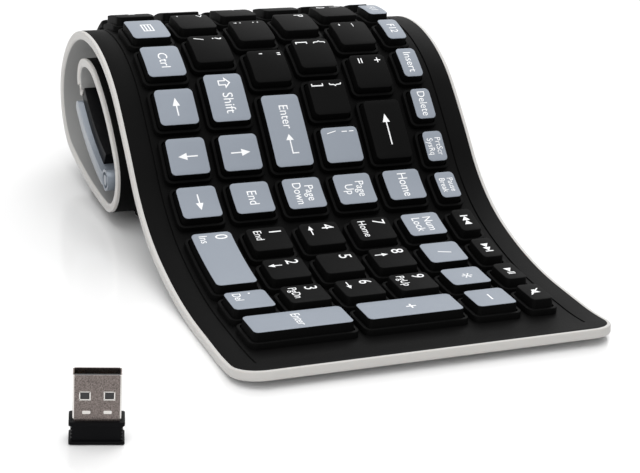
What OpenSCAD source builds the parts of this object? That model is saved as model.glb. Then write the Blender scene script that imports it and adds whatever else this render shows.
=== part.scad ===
// Roll-up silicone keyboard, lying half rolled, with its plug-in radio receiver.
// X runs across the board, Y away from the number-pad end, Z up.
// The origin is the middle of the flat underside that the board lies on.

/* [Sheet] */
// Width of the board, front edge to function-key edge
board_w = 118.6; // [110:0.2:140]
// Thickness of the black key sheet at its margins
mat_t = 0.8; // [0.7:0.1:1.2]
// Thickness of the light back sheet
back_t = 2.2; // [1.8:0.1:2.8]
// Width of the light border round the key sheet
rim_w = 1.2; // [0.8:0.1:2]
// Thickness of each of the three printed circuit films
film_t = 0.13; // [0.08:0.01:0.16]
// Distance from the edge of the board to the films
film_margin = 5; // [3:0.5:8]
// Corner radius of the board at the number-pad end
corner_r = 9; // [3:0.5:12]
// Distance from the long edges to the border grooves
groove_inset = 8; // [7:0.1:8.6]
// Width and depth of the border grooves
groove = 0.4; // [0.2:0.1:0.6]
// Heading of the sheet at its free end, degrees above level
start_heading = -13; // [-16:1:-8]
// Length and turn, in degrees, of each bend along the sheet
bends = [
    [21, 13], [14.5, 0], [38, 17.5], [31, 29], [25.5, -5], [43, -48], [33, -54.5], [37, -105],
    [43.5, -15], [30, -128], [32, -25.5], [17, -45], [16, -118.5]
];

/* [Keys] */
// Height of the key tops above the sheet
key_h = 4.7; // [4:0.1:6]
// Height of the raised surround that each key sinks into
surround_h = 2; // [1.4:0.1:2.6]
// Travel of a key
key_travel = 1.6; // [1:0.1:2]
// Gap between neighbouring key tops
key_gap = 4.2; // [3.6:0.1:5]
// Gap between neighbouring surrounds
surround_gap = 1.7; // [1:0.1:2.4]
// Clearance round a key in its surround
key_clear = 0.3; // [0.2:0.05:0.4]
// Corner radius of the keys
key_r = 1.6; // [0.8:0.1:2.5]
// Pitch of the key rows across the board
row_pitch = 17.4; // [17:0.1:19]
// From the front edge to the middle of the first row
first_row = 17.7; // [16:0.1:20]
// Pitch from the digit row to the function row
fn_pitch = 15; // [14.5:0.1:16]
// Size of the function keys across the board
fn_depth = 11.6; // [10.5:0.1:12.4]
// From the free end to the middle of the first column
first_col = 24; // [23:0.5:26]
// Pitch of the number-pad columns
pad_pitch = 16; // [15.8:0.1:16.4]
// Middle of the navigation column
nav_col = 91; // [90.5:0.5:92]
// Pitch of the letter keys
key_pitch = 17.2; // [17:0.1:17.4]

/* [Controller module] */
// How far the module stands past the sheet's long edges
module_over = 1; // [0:0.5:3]
// Length of the module's chord along the board
module_len = 37.3; // [35:0.1:40]
// Turn of the curved cover plate, degrees
module_turn = 30; // [20:1:34]
// Thickness of the cover plate
cover_t = 4.2; // [3:0.1:4.6]
// Diameter of the round end rail of the cover
rail_d = 7; // [6:0.1:8]
// Depth of the tray that runs the whole width under the cover
tray_d = 4.6; // [4:0.1:5.4]
// How far the ends of the tray stand back from the ends of the cover
tray_back = 1.8; // [0.6:0.1:3]
// Wall of the lower housing
housing_wall = 1.4; // [1:0.1:2]
// Diameter and length of one battery cell
cell_d = 10.5; // [10.5:0.1:10.6]
cell_len = 44.5; // [43:0.1:44.8]
// Clearance round the cells
cell_clear = 0.25; // [0.1:0.05:0.4]
// Size of the battery door along the board
door_l = 14; // [13:0.5:15]
// Clearance of the door and the switch
door_gap = 0.15; // [0.1:0.05:0.3]
// Running clearance of the sheet's round end in the module
bead_clear = 0.06; // [0.03:0.01:0.1]
// Travel of the power switch, off to on
switch_travel = 2.6; // [2:0.1:3]

/* [Receiver] */
// Width, thickness and height of the receiver's grip
grip_w = 13.9; // [13.4:0.1:16]
grip_t = 6.4; // [6:0.1:8]
grip_h = 6.2; // [5.4:0.1:9]
// Lips of the grip past its toothed sides
lip = 0.45; // [0.3:0.05:0.5]
// Pitch of the saw-tooth grip
tooth_pitch = 0.95; // [0.8:0.05:1]
// Width, thickness and free length of the plug shell
plug_w = 12; // [11.9:0.05:12.1]
plug_t = 4.5; // [4.4:0.05:4.6]
plug_len = 12.5; // [11.5:0.1:13]
// Round corners of the plug shell
plug_r = 0.55; // [0.4:0.05:0.7]
// Sheet metal of the plug shell
plug_wall = 0.3; // [0.25:0.01:0.4]
// Place of the receiver beside the board, from the origin
receiver_at = [-101.8, -42];
// Turn of the receiver about the vertical, degrees
receiver_turn = -16; // [-90:1:90]

/* [Hidden] */
$fn = 120;
layer_gap = 0.02;
sheet_t = mat_t + back_t;
half_w = board_w / 2;

function lengths(n) = n == 0 ? 0 : lengths(n - 1) + bends[n - 1][0];
starts = [for (i = [0 : len(bends)]) lengths(i)];
sheet_len = starts[len(bends)];

// A pose is [y, z, heading]: go on from pose p along a bend of the given length and turn
function go(p, l, turn) =
    turn == 0 ? [p[0] + l * cos(p[2]), p[1] + l * sin(p[2]), p[2]]
    : let (r = l / (turn * PI / 180))
      [p[0] + r * (sin(p[2] + turn) - sin(p[2])), p[1] - r * (cos(p[2] + turn) - cos(p[2])), p[2] + turn];
// The free end is placed so that the middle of the flat bend lies over the origin
rise = bends[0][0] / (bends[0][1] * PI / 180);
free_end = [rise * sin(start_heading) - bends[1][0] / 2, sheet_t + rise * (1 - cos(start_heading)),
            start_heading];
function pose(i) = i == 0 ? free_end : go(pose(i - 1), bends[i - 1][0], bends[i - 1][1]);
poses = [for (i = [0 : len(bends)]) pose(i)];
function bend_at(s, i = 0) = i >= len(bends) - 1 || s < starts[i + 1] ? i : bend_at(s, i + 1);
function pose_at(s) =
    let (i = bend_at(s), part = s - starts[i])
    go(poses[i], part, bends[i][1] * part / bends[i][0]);

// Everything drawn as a side view in (y, z) is extruded across the board
module across(x0, x1) { translate([x0, 0, 0]) rotate([90, 0, 90]) linear_extrude(x1 - x0) children(); }
// Local frame on the sheet: Y along it, Z out of it
module on_sheet(s, x = 0) {
    p = pose_at(s);
    translate([x, p[0], p[1]]) rotate([p[2], 0, 0]) children();
}
// Stations along the sheet: the ends of every bend, and steps of a few degrees inside it
bend_step = 6;
function stations(s0, s1) = concat(
    [s0],
    [for (i = [0 : len(bends) - 1])
        let (steps = max(1, ceil(abs(bends[i][1]) / bend_step)))
        for (k = [0 : steps - 1])
            let (s = starts[i] + bends[i][0] * k / steps)
            if (s > s0 + 0.05 && s < s1 - 0.05) s],
    [s1]
);
function off(s, n) = let (p = pose_at(s)) [p[0] - n * sin(p[2]), p[1] + n * cos(p[2])];
// Side view of a layer that lies between heights n0 and n1 over the sheet
module layer(n0, n1, s0 = 0, s1 = sheet_len) {
    st = stations(s0, s1);
    last = len(st) - 1;
    polygon(concat([for (i = [0 : last]) off(st[i], n1)], [for (i = [0 : last]) off(st[last - i], n0)]));
}

// A rectangle with true round corners, centred
module rounded(w, d, r) {
    square([w - 2 * r, d], center = true);
    square([w, d - 2 * r], center = true);
    for (x = [-1, 1], y = [-1, 1]) translate([x * (w / 2 - r), y * (d / 2 - r)]) circle(r, $fn = 24);
}

// ---- Keys: [name, s, x, length along the board, depth across it, grey]
function row_x(r) =
    (r == 6 ? first_row + 4 * row_pitch + fn_pitch : first_row + (r - 1) * row_pitch) - half_w;
function pad_s(c) = first_col + c * pad_pitch;
block_s = nav_col + key_pitch / 2;
function cell_d_of(r) = r == 6 ? fn_depth : row_pitch;
function pad(name, c, r, grey) = [name, pad_s(c), row_x(r), pad_pitch, cell_d_of(r), grey];
function nav(name, r) = [name, nav_col, row_x(r), key_pitch, row_pitch, true];
// Keys of a block row, given as widths in key pitches; the running sum places them
function sum_to(v, n) = n <= 0 ? 0 : v[n - 1] + sum_to(v, n - 1);
function blk(name, r, row, k, grey) =
    [name, block_s + (sum_to(row, k) + row[k] / 2) * key_pitch, row_x(r), row[k] * key_pitch,
     row_pitch, grey];
ones12 = [for (i = [1 : 12]) 1];
digit_row = concat([1.5], ones12, [1]);
top_row = concat([1], ones12, [1.5]);
home_row = concat([1.75], [for (i = [1 : 11]) 1], [1.75]);
low_row = concat([1, 1.25], [for (i = [1 : 10]) 1], [2.25]);
space_row = [1, 1, 1, 1, 1, 5.75, 1.25, 1.25, 1.25];
fn_cell = (block_s + sum_to(space_row, 9) * key_pitch - (pad_s(3) + nav_col) / 2) / 17;
function fn(name, k, grey = true) =
    [name, (pad_s(3) + nav_col) / 2 + (k + 0.5) * fn_cell, row_x(6), fn_cell, fn_depth, grey];

// The keys that travel: all that lie open on the flat end and the slope
moving_keys = [
    ["num_enter", pad_s(0), (row_x(1) + row_x(2)) / 2, pad_pitch, 2 * row_pitch, true],
    ["num_plus", pad_s(0), (row_x(3) + row_x(4)) / 2, pad_pitch, 2 * row_pitch, true],
    pad("num_minus", 0, 5, true), pad("media_mute", 0, 6, false),
    pad("num_point", 1, 1, true), pad("num_3", 1, 2, false), pad("num_6", 1, 3, false),
    pad("num_9", 1, 4, false), pad("num_times", 1, 5, true), pad("media_play", 1, 6, false),
    ["num_0", (pad_s(2) + pad_s(3)) / 2, row_x(1), 2 * pad_pitch, row_pitch, true],
    pad("num_2", 2, 2, false), pad("num_5", 2, 3, false), pad("num_8", 2, 4, false),
    pad("num_divide", 2, 5, true), pad("media_next", 2, 6, false),
    pad("num_1", 3, 2, false), pad("num_4", 3, 3, false), pad("num_7", 3, 4, false),
    pad("num_lock", 3, 5, true), pad("media_back", 3, 6, false),
    nav("arrow_right", 1), nav("end", 2), nav("page_down", 3), nav("page_up", 4), nav("home", 5),
    fn("pause", 0), fn("print_screen", 1), fn("delete", 2), fn("insert", 3),
    blk("arrow_down", 1, space_row, 0, true), blk("arrow_left", 1, space_row, 1, true),
    blk("right_ctrl", 1, space_row, 2, true), blk("arrow_up", 2, low_row, 0, true),
    blk("right_shift", 2, low_row, 1, true), blk("enter", 3, home_row, 0, true),
    blk("backslash", 4, top_row, 0, true), blk("backspace", 5, digit_row, 0, false)
];
// The keys that stay moulded in one with the sheet, out of sight in the roll
fixed_keys = concat(
    [for (k = [4 : 16]) fn("fn", k)],
    [for (k = [1 : 13]) blk("digit", 5, digit_row, k, false)],
    [for (k = [1 : 13]) blk("top", 4, top_row, k, k == 13)],
    [for (k = [1 : 12]) blk("home", 3, home_row, k, k == 12)],
    [for (k = [2 : 12]) blk("low", 2, low_row, k, k == 12)],
    [for (k = [3 : 8]) blk("space", 1, space_row, k, k != 4 && k != 5)]
);

module key_plan(k, gap, r) rounded(k[4] - gap, k[3] - gap, r);
module key_block(k, n0, n1, gap, r)
    on_sheet(k[1], k[2]) translate([0, 0, n0]) linear_extrude(n1 - n0) key_plan(k, gap, r);

// Keys longer than this follow the bend of the sheet
straight_len = 20;
module bent_block(k, n0, n1, gap)
    across(k[2] - (k[4] - gap) / 2, k[2] + (k[4] - gap) / 2)
        layer(n0, n1, k[1] - (k[3] - gap) / 2, k[1] + (k[3] - gap) / 2);
module fixed_block(k, n0, n1, gap, r) {
    if (k[3] < straight_len) key_block(k, n0, n1, gap, r);
    else bent_block(k, n0, n1, gap);
}
module moving_block(k, n0, n1, gap, r) {
    if (k[3] < straight_len) key_block(k, n0, n1, gap, r);
    else intersection() {
        key_block(k, -4, 10, gap, r);
        across(-half_w, half_w) layer(n0, n1, k[1] - k[3], k[1] + k[3]);
    }
}

skirt_n = 1.3;                        // lowest edge of a moving key at rest
well_n = skirt_n - key_travel - 0.1;  // floor of the well under it
module key(k) {
    color(k[5] ? "#a0a5ae" : "#262627") moving_block(k, skirt_n, key_h, key_gap, key_r);
}

// ---- Sheet
film_top = -mat_t - layer_gap;
film_bottom = film_top - 3 * (film_t + layer_gap);
// What lies outside the round corners of an outline that is the given inset smaller than the board
module corners(inset = 0) {
    r = corner_r - inset;
    for (x = [-1, 1])
        translate([x * (half_w - corner_r), free_end[0] + corner_r, -1])
            linear_extrude(free_end[1] + 4)
                difference() {
                    translate([x > 0 ? 0 : -corner_r - 1, -corner_r - 2])
                        square([corner_r + 1, corner_r + 2]);
                    circle(r);
                }
}
// The place of the key sheet inside the border, grown by a clearance
module key_field(n0, n1, clear = 0) {
    difference() {
        across(-half_w + rim_w - clear, half_w - rim_w + clear)
            layer(n0, n1, rim_w - clear, sheet_len - 2 * bead_r + clear);
        corners(rim_w - clear);
    }
}
// The keys that the roll stands on are pressed in level with the table
module under_table() { translate([-half_w, 0, -10]) cube([board_w, 3 * board_w, 10]); }
// The round end that turns in the module's jaw
bead_r = sheet_t / 2;
// Step along the lower edges of the back sheet, and how far its border lies below the key sheet
edge_step = 0.5;
rim_low = 0.1;

module silicone_mat() {
    color("#232324") difference() {
        union() {
            key_field(-mat_t, 0);
            intersection() {
                across(-half_w + film_margin, half_w - film_margin)
                    layer(-mat_t / 2, surround_h, first_col / 2, sheet_len - 30);
                union() {
                    for (k = moving_keys) key_block(k, -3, 4, surround_gap, key_r + 0.8);
                    for (k = fixed_keys) fixed_block(k, -mat_t, 3, surround_gap, key_r + 0.8);
                }
            }
            for (k = fixed_keys) if (!k[5]) fixed_block(k, 0.5, key_h, key_gap, key_r);
        }
        for (k = moving_keys) moving_block(k, well_n, 6, key_gap - 2 * key_clear, key_r + key_clear);
        for (x = [-1, 1])
            across(x * (half_w - groove_inset) - groove / 2, x * (half_w - groove_inset) + groove / 2)
                layer(-groove, 1, groove_inset, sheet_len - 12);
        under_table();
    }
}
module grey_caps() {
    color("#a0a5ae") difference() {
        intersection() {
            across(-half_w + 1, half_w - 1) layer(surround_h + layer_gap, key_h + 2, 15, sheet_len - 30);
            for (k = fixed_keys) if (k[5]) fixed_block(k, -mat_t, key_h, key_gap, key_r);
        }
        under_table();
    }
}
module film(i) {
    top = film_top - i * (film_t + layer_gap);
    color(i == 1 ? "#d8d3c4" : "#7fa08a")
        across(-half_w + film_margin, half_w - film_margin)
            layer(top - film_t, top, film_margin + 8, sheet_len - 8);
}
module circuit_film_top() { film(0); }
module spacer_film() { film(1); }
module circuit_film_bottom() { film(2); }
module back_sheet() {
    p = pose_at(sheet_len);
    inner_w = half_w - edge_step;
    color("#dedcd8") difference() {
        union() {
            across(-half_w, half_w) layer(-sheet_t + edge_step, -rim_low, 0, sheet_len - 2 * bead_r);
            across(-inner_w, inner_w) layer(-sheet_t, -sheet_t + 2 * edge_step, 0, sheet_len - bead_r);
            across(-inner_w, inner_w) layer(-sheet_t, -mat_t - layer_gap, sheet_len - 3 * bead_r);
            across(-inner_w, inner_w)
                translate([p[0] + bead_r * sin(p[2]), p[1] - bead_r * cos(p[2])]) circle(bead_r);
        }
        key_field(-mat_t - layer_gap, 1, layer_gap);
        across(-half_w + film_margin - 0.2, half_w - film_margin + 0.2)
            layer(film_bottom, 0, film_margin + 7.8, sheet_len - 7.8);
        corners();
    }
}

// ---- Controller module, in the frame of its chord: Y along it, Z outward
module on_module() {
    p = pose_at(sheet_len);
    translate([0, p[0] + bead_r * sin(p[2]), p[1] - bead_r * cos(p[2])])
        rotate([p[2] - module_turn / 2, 0, 0]) children();
}
mod_half = half_w + module_over;
// The cover is a curved plate; its hollow side is an arc whose ends lie jaw_z over the chord
jaw_y = 1.5;
jaw_z = bead_r - 0.7;
arc_r = module_len / 2 / sin(module_turn / 2);
arc_z = jaw_z - arc_r * cos(module_turn / 2);
mid_r = arc_r + cover_t / 2;
cover_from = asin((jaw_y + (cover_t - module_len) / 2) / mid_r);
cover_to = asin(module_len / 2 / mid_r);
rail_at = [module_len + 3, bead_r - 0.8];
module arc_disc(r) { translate([module_len / 2, arc_z]) circle(r, $fn = 360); }
module cover_end(turn) {
    translate([module_len / 2 + mid_r * sin(turn), arc_z + mid_r * cos(turn)]) circle(cover_t / 2);
}
module cover_plate() {
    rail_r = rail_d / 2;
    far = 2 * arc_r;
    color("#9aa2ac") on_module() difference() {
        union() {
            across(-mod_half, mod_half) {
                intersection() {
                    difference() {
                        arc_disc(arc_r + cover_t);
                        arc_disc(arc_r);
                    }
                    translate([module_len / 2, arc_z])
                        polygon([
                            [0, 0], far * [sin(cover_from), cos(cover_from)],
                            far * [sin(cover_to), cos(cover_to)]
                        ]);
                }
                cover_end(cover_from);
                cover_end(cover_to);
                translate(rail_at) circle(rail_r);
            }
        }
        for (x = [-1, 1])
            translate([x * mod_half, rail_at[0], rail_at[1]]) rotate([0, 90, 0])
                difference() {
                    cylinder(h = 1.6, r = rail_r - 0.8, center = true);
                    cylinder(h = 2, r = rail_r - 1.8, center = true);
                }
    }
}

// The housing is a tray under the cover with a deeper box for the cells
roof_gap = 0.05;
// The flat floor runs from foot_from to foot_to; both long sides slope up from it to slope_top
foot_from = 6;
cell_y = foot_from + cell_d / 2 + 2;
roof_r = arc_r - roof_gap - housing_wall;
cell_z = arc_z + sqrt(pow(roof_r, 2) - pow(cell_y - module_len / 2, 2)) - cell_clear - cell_d / 2;
housing_z = cell_z - cell_d / 2 - cell_clear / 2 - housing_wall;
box_half = cell_len + 0.8 + housing_wall;
door_half = cell_len - 0.5;
// The power switch slides in the floor between the door and the sloping side
switch_w = 2.4;
switch_x = 20;
switch_y = cell_y + door_l / 2 + 0.8 + switch_w / 2;
foot_to = switch_y + switch_w / 2 + 1.1;
tail = max(module_len - 5.2, foot_to + 5);
slope_top = -2.5;
module housing_side(w) {
    intersection() {
        arc_disc(arc_r - roof_gap - w);
        polygon([
            [jaw_y + w, 8], [jaw_y + w, slope_top + w / 2], [foot_from + w / 3, housing_z + w],
            [foot_to - w / 3, housing_z + w], [tail - w, slope_top + w / 2], [tail - w, 8]
        ]);
    }
}
module tray_side(w) {
    difference() {
        housing_side(w);
        arc_disc(arc_r - tray_d + w);
    }
}
// The circuit board lies between the cells and the sloping side, on a ledge
board_t = 1;
board_y = cell_y + cell_d / 2 + cell_clear + 0.8;
board_z = cell_z + 1;
board_half = 38;
slope = (tail - foot_to) / (slope_top - housing_z);
board_l = foot_to + (board_z - housing_z) * slope - housing_wall - 1 - board_y;
module housing() {
    inside = mod_half - tray_back - housing_wall;
    color("#1d1d1f") on_module() difference() {
        union() {
            difference() {
                union() {
                    across(-mod_half + tray_back, mod_half - tray_back) tray_side(0);
                    across(-box_half, box_half) housing_side(0);
                }
                across(-inside, inside) tray_side(housing_wall);
                across(-box_half + housing_wall, box_half - housing_wall) housing_side(housing_wall);
            }
            across(-board_half - 2, board_half + 2) intersection() {
                housing_side(housing_wall - 0.01);
                translate([board_y + board_l / 2, board_z - 1.2]) square([12, 1.2 - layer_gap]);
            }
        }
        translate([0, cell_y, housing_z]) cube([2 * door_half, door_l, 4 * housing_wall], center = true);
        translate([switch_x, switch_y, housing_z])
            cube([switch_travel + 3.2, switch_w, 4 * housing_wall], center = true);
        across(-mod_half, mod_half) circle(bead_r + bead_clear);
    }
}
module battery_door() {
    color("#232325") on_module() {
        translate([0, cell_y, housing_z + housing_wall / 2])
            cube([2 * (door_half - door_gap), door_l - 2 * door_gap, housing_wall], center = true);
        for (i = [0 : 4])
            translate([door_half - 8 - 1.6 * i, cell_y, housing_z])
                cube([0.6, door_l - 6, 0.5], center = true);
    }
}
module batteries() {
    nub = 1.1;
    for (x = [-1, 1])
        color("#b9bcc0") on_module() translate([x * cell_len / 2, cell_y, cell_z]) rotate([0, 90, 0]) {
            translate([0, 0, -cell_len / 2]) cylinder(h = cell_len - nub, d = cell_d);
            translate([0, 0, cell_len / 2 - nub - 0.1]) cylinder(h = nub + 0.05, d = 3.8);
        }
}
module battery_contacts() {
    for (x = [-1, 1])
        color("#c9c6bd") on_module() translate([x * (cell_len + 0.45), cell_y, cell_z])
            cube([0.5, cell_d - 2.5, cell_d - 2.9], center = true);
}
module circuit_board() {
    chip = board_l - 3;
    color("#2c6e49") on_module() {
        translate([-board_half, board_y, board_z]) cube([2 * board_half, board_l, board_t]);
        translate([-chip / 2, board_y + 1, board_z + board_t - 0.1]) cube([chip, chip, 0.9]);
        translate([14, board_y + 2, board_z + board_t - 0.1]) cube([4, 2, 0.8]);
    }
}
module power_switch() {
    color("#3a3a3d") on_module() translate([switch_x - switch_travel / 2, switch_y, housing_z]) {
        translate([0, 0, housing_wall / 2 - 0.2])
            cube([3, switch_w - 2 * door_gap, housing_wall + 1.4], center = true);
        translate([0, 0, housing_wall + 0.7]) cube([5.4, switch_w + 0.8, 1.2], center = true);
    }
}

// ---- Receiver, standing on its grip with the plug up
module on_receiver() {
    translate([receiver_at[0], receiver_at[1], 0]) rotate([0, 0, receiver_turn]) children();
}
plug_seat = 4;
tongue_t = 1.9;
// Front view of the grip between its two lips, with a saw-tooth down each side
function teeth(side) = [for (i = [0 : 4], d = [0, 1])
    [side * (grip_w / 2 - lip - 0.45 * d), grip_h / 2 + side * (-2.25 + i + 0.5 * d) * tooth_pitch]];
module receiver_grip() {
    color("#1c1c1e") on_receiver() difference() {
        union() {
            translate([0, (grip_t - 2 * lip) / 2, 0]) rotate([90, 0, 0]) linear_extrude(grip_t - 2 * lip)
                polygon(concat(
                    [[grip_w / 2 - lip, 0.4]], teeth(1), [[grip_w / 2 - lip, grip_h - 0.4]],
                    [[lip - grip_w / 2, grip_h - 0.4]], teeth(-1), [[lip - grip_w / 2, 0.4]]
                ));
            linear_extrude(0.9) rounded(grip_w, grip_t, 0.7);
            translate([0, 0, grip_h - 1.1]) linear_extrude(1.1) rounded(grip_w, grip_t, 0.7);
        }
        translate([0, 0, grip_h - plug_seat - 0.01]) linear_extrude(plug_seat + 1)
            rounded(plug_w + 0.04, plug_t + 0.04, plug_r + 0.02);
    }
}
module plug_shell() {
    color("#b5b3ae") on_receiver() translate([0, 0, grip_h - plug_seat]) difference() {
        linear_extrude(plug_len + plug_seat) rounded(plug_w, plug_t, plug_r);
        translate([0, 0, -1]) linear_extrude(plug_len + plug_seat + 2)
            rounded(plug_w - 2 * plug_wall, plug_t - 2 * plug_wall, plug_r - plug_wall);
        for (x = [-1, 1])
            translate([x * plug_w / 4, 0, plug_seat + 6.9]) cube([2.3, plug_t + 1, 1.9], center = true);
        // Shallow stamped marks near the grip
        for (x = [-1, 1], y = [-1, 1])
            translate([x * plug_w / 4.6, y * plug_t / 2, plug_seat + 2.4]) cube([2, 0.2, 0.9], center = true);
    }
}
module plug_tongue() {
    gap = 0.1;
    color("#26262a") on_receiver()
        translate([-plug_w / 2 + plug_wall + gap, -plug_t / 2 + plug_wall + gap, grip_h - plug_seat + gap])
            cube([plug_w - 2 * (plug_wall + gap), tongue_t, plug_len + plug_seat - 0.8]);
}
module plug_contacts() {
    for (i = [0 : 3]) {
        long = i == 0 || i == 3 ? 8.4 : 7.4;
        color("#c8a24a") on_receiver()
            translate([
                (i - 1.5) * 2.4 - 0.6, -plug_t / 2 + plug_wall + 0.12 + tongue_t,
                grip_h + plug_len - 1.6 - long
            ])
                cube([1.2, 0.2, long]);
    }
}

silicone_mat();
back_sheet();
circuit_film_top();
spacer_film();
circuit_film_bottom();
grey_caps();
for (k = moving_keys) key(k);
cover_plate();
housing();
battery_door();
batteries();
battery_contacts();
circuit_board();
power_switch();
receiver_grip();
plug_shell();
plug_tongue();
plug_contacts();
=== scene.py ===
"""Roll-up silicone keyboard with a plug-in receiver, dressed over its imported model.

The soft sheet, its keys and their legends are modelled flat, as they leave the mould, and are then
bent with a Curve modifier along the sheet's side view.
"""
import math
from collections import namedtuple

import bmesh
import bpy
from bpy.props import FloatProperty, FloatVectorProperty, PointerProperty
from mathutils import Matrix, Vector


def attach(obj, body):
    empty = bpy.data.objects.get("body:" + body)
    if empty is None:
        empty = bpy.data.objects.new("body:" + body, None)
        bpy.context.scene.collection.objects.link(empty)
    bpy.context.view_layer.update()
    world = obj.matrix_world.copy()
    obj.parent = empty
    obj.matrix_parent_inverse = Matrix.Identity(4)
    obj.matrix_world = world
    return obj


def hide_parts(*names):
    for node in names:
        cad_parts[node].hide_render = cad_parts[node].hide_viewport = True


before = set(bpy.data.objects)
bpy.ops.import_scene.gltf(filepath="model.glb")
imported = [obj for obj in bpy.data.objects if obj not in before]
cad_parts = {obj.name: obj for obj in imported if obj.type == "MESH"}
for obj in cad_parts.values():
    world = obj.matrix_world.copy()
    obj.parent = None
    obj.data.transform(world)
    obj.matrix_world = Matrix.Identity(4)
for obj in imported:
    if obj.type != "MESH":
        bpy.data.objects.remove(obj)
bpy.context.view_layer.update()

bl_info = {
    "name": "Roll-up keyboard",
    "version": (1, 0, 0),
    "blender": (4, 5, 0),
    "location": "View3D > Sidebar > Keyboard",
    "description": "Makes a soft silicone keyboard, half rolled, with its receiver",
    "category": "Add Mesh",
}

MM = 0.001

# Side view of the sheet: length in mm and turn in degrees of each bend, from the free end
BENDS = (
    (21, 13), (14.5, 0), (38, 17.5), (31, 29), (25.5, -5), (43, -48), (33, -54.5), (37, -105),
    (43.5, -15), (30, -128), (32, -25.5), (17, -45), (16, -118.5),
)
START_HEADING = -13.0
SHEET_LENGTH = sum(length for length, turn in BENDS)
HALF_WIDTH = 59.3
MAT = 0.8            # black key sheet
SHEET = 3.0          # key sheet and back sheet together
RIM = 1.2            # light border round the key sheet
RIM_LOW = 0.1        # how far the border lies below the key sheet
FILMS = 0.45         # the three printed films between the sheets

# Key layout, in mm along the sheet and across it
PAD_PITCH, KEY_PITCH, ROW_PITCH, FN_PITCH, FN_DEPTH = 16.0, 17.2, 17.4, 15.0, 11.6
FIRST_ROW, FIRST_COLUMN, NAV_COLUMN = 17.7, 24.0, 91.0
BLOCK_START, BLOCK_PITCHES = 116.0, 14.5
KEY_GAP, SURROUND_GAP = 4.2, 1.7
SURROUND_CORNER = 0.8    # how much rounder a surround's corners are than its key's
SURROUND_EDGE = 0.3      # rounding of a surround's top edge
SURROUND_ROOT = 0.4      # how deep a surround reaches into the mat
SKIN = 0.02              # keeps faces of pieces that lie on each other from coinciding

# The line moulded round the key sheet, and the beds in the back sheet, in mm
LINE_INSET, LINE_HALF, LINE_FLOOR, LINE_DEPTH = 8.0, 0.32, 0.12, 0.4
LINE_END = 0.3           # length over which the line rises to the surface at its ends
MAT_EDGE, BORDER_EDGE = 0.25, 0.35
BED_GAP, FILM_INSET = 0.1, 3.7
STRIP_INSET = 0.5        # how far the strip at the module ends inside the long edges

# Plug of the receiver, in mm: its own axes stand at the receiver's middle
PLUG_WIDTH, PLUG_DEPTH, PLUG_LOW, PLUG_HIGH, PLUG_WALL, PLUG_CORNER = 12.0, 4.5, 2.2, 18.7, 0.3, 0.55
WINDOW_MIDDLE, WINDOW_HALF, WINDOW_LOW, WINDOW_HIGH = 3.0, 1.4, 11.9, 14.3
WINDOW_CORNER, LIP_WIDTH, LIP_DEPTH = 0.5, 0.27, 0.08
TAB_PLACE, TAB_HALF, TAB_LOW, TAB_HIGH, TAB_RAISE = PLUG_WIDTH / 4.6, 1.0, 8.15, 9.05, 0.05
RECEIVER_PLACE, RECEIVER_TURN = (-101.8, -42.0), -16.0

# Camera that fits the photograph: place in metres, turn in degrees, focal length in mm
CAMERA_PLACE = (-0.20878, -0.41219, 0.21232)
CAMERA_TURN = (67.9836, -3.5771, -22.4642)
CAMERA_LENS, CAMERA_SENSOR = 97.746, 36.0

# Printed letters: cap height as a share of the font size, width, and margin on the key in mm
CAP_SHARE, LETTER_WIDTH, LEGEND_MARGIN = 0.7, 0.88, 1.4

SMOOTH_ANGLE = 35.0      # degrees: edges sharper than this stay sharp
PATH_TAIL = 8            # mm that the path runs on straight past the last bend, to carry the bead

Key = namedtuple("Key", "name along across length depth grey legend")


def hex_colour(text):
    """Linear colour of an sRGB hex value."""
    parts = (int(text[i:i + 2], 16) / 255 for i in (1, 3, 5))
    return tuple(p / 12.92 if p <= 0.04045 else ((p + 0.055) / 1.055) ** 2.4 for p in parts)


# ---------------------------------------------------------------- sizes and colours

def colour(name, text, description):
    return FloatVectorProperty(
        name=name, description=description, subtype="COLOR", size=3, min=0, max=1,
        default=hex_colour(text),
    )


def size(name, millimetres, description):
    return FloatProperty(
        name=name, description=description, unit="LENGTH", default=millimetres * MM, min=0,
    )


class KeyboardSizes(bpy.types.PropertyGroup):
    key_top: size("Key top", 4.7, "Height of the key tops above the sheet")
    key_foot: size("Key foot", 1.65, "Height of a key's lowest edge, down in its well")
    key_taper: size("Key taper", 0.25, "How far each side of a key leans in towards its top")
    key_corner: size("Key corner", 1.6, "Corner radius of the keys")
    key_edge: size("Key edge", 0.22, "Rounding of the edge of the key tops")
    surround: size("Surround", 2.0, "Height of the raised surround of a key")
    well_gap: size("Well gap", 0.3, "Clearance of a key in its well")
    rim_edge: size("Rim edge", 0.9, "Rounding of the lower edge of the back sheet")
    corner: size("Board corner", 9.0, "Corner radius at the free end of the board")
    cut: size("Cut spacing", 1.6, "Spacing of the cuts that let a flat piece bend")
    ink: size("Ink", 0.04, "Height of the printed legends")


class KeyboardColours(bpy.types.PropertyGroup):
    black_silicone: colour("Black silicone", "#0a0a0a", "Key sheet and black keys")
    grey_ink: colour("Grey coating", "#8f96a0", "Coated tops of the grey keys")
    white_ink: colour("White ink", "#f2f3f4", "Printed legends")
    back_silicone: colour("Back silicone", "#c3c1be", "Border and edge of the back sheet")
    # The back face is the pale silicone darkened: painted shade for the underside inside the roll
    back_face: colour("Back face", "#9d9d9c", "Flat underside of the back sheet")
    cover: colour("Cover", "#7d858f", "Painted cover of the module")
    black_abs: colour("Black ABS", "#070709", "Moulded module and receiver grip")
    steel: colour("Steel", "#8b817d", "Shell of the plug")
    gold: colour("Gold", "#b98f46", "Contacts of the plug")
    floor: colour("Floor", "#f4f4f4", "Studio floor")


# ---------------------------------------------------------------- materials

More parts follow.
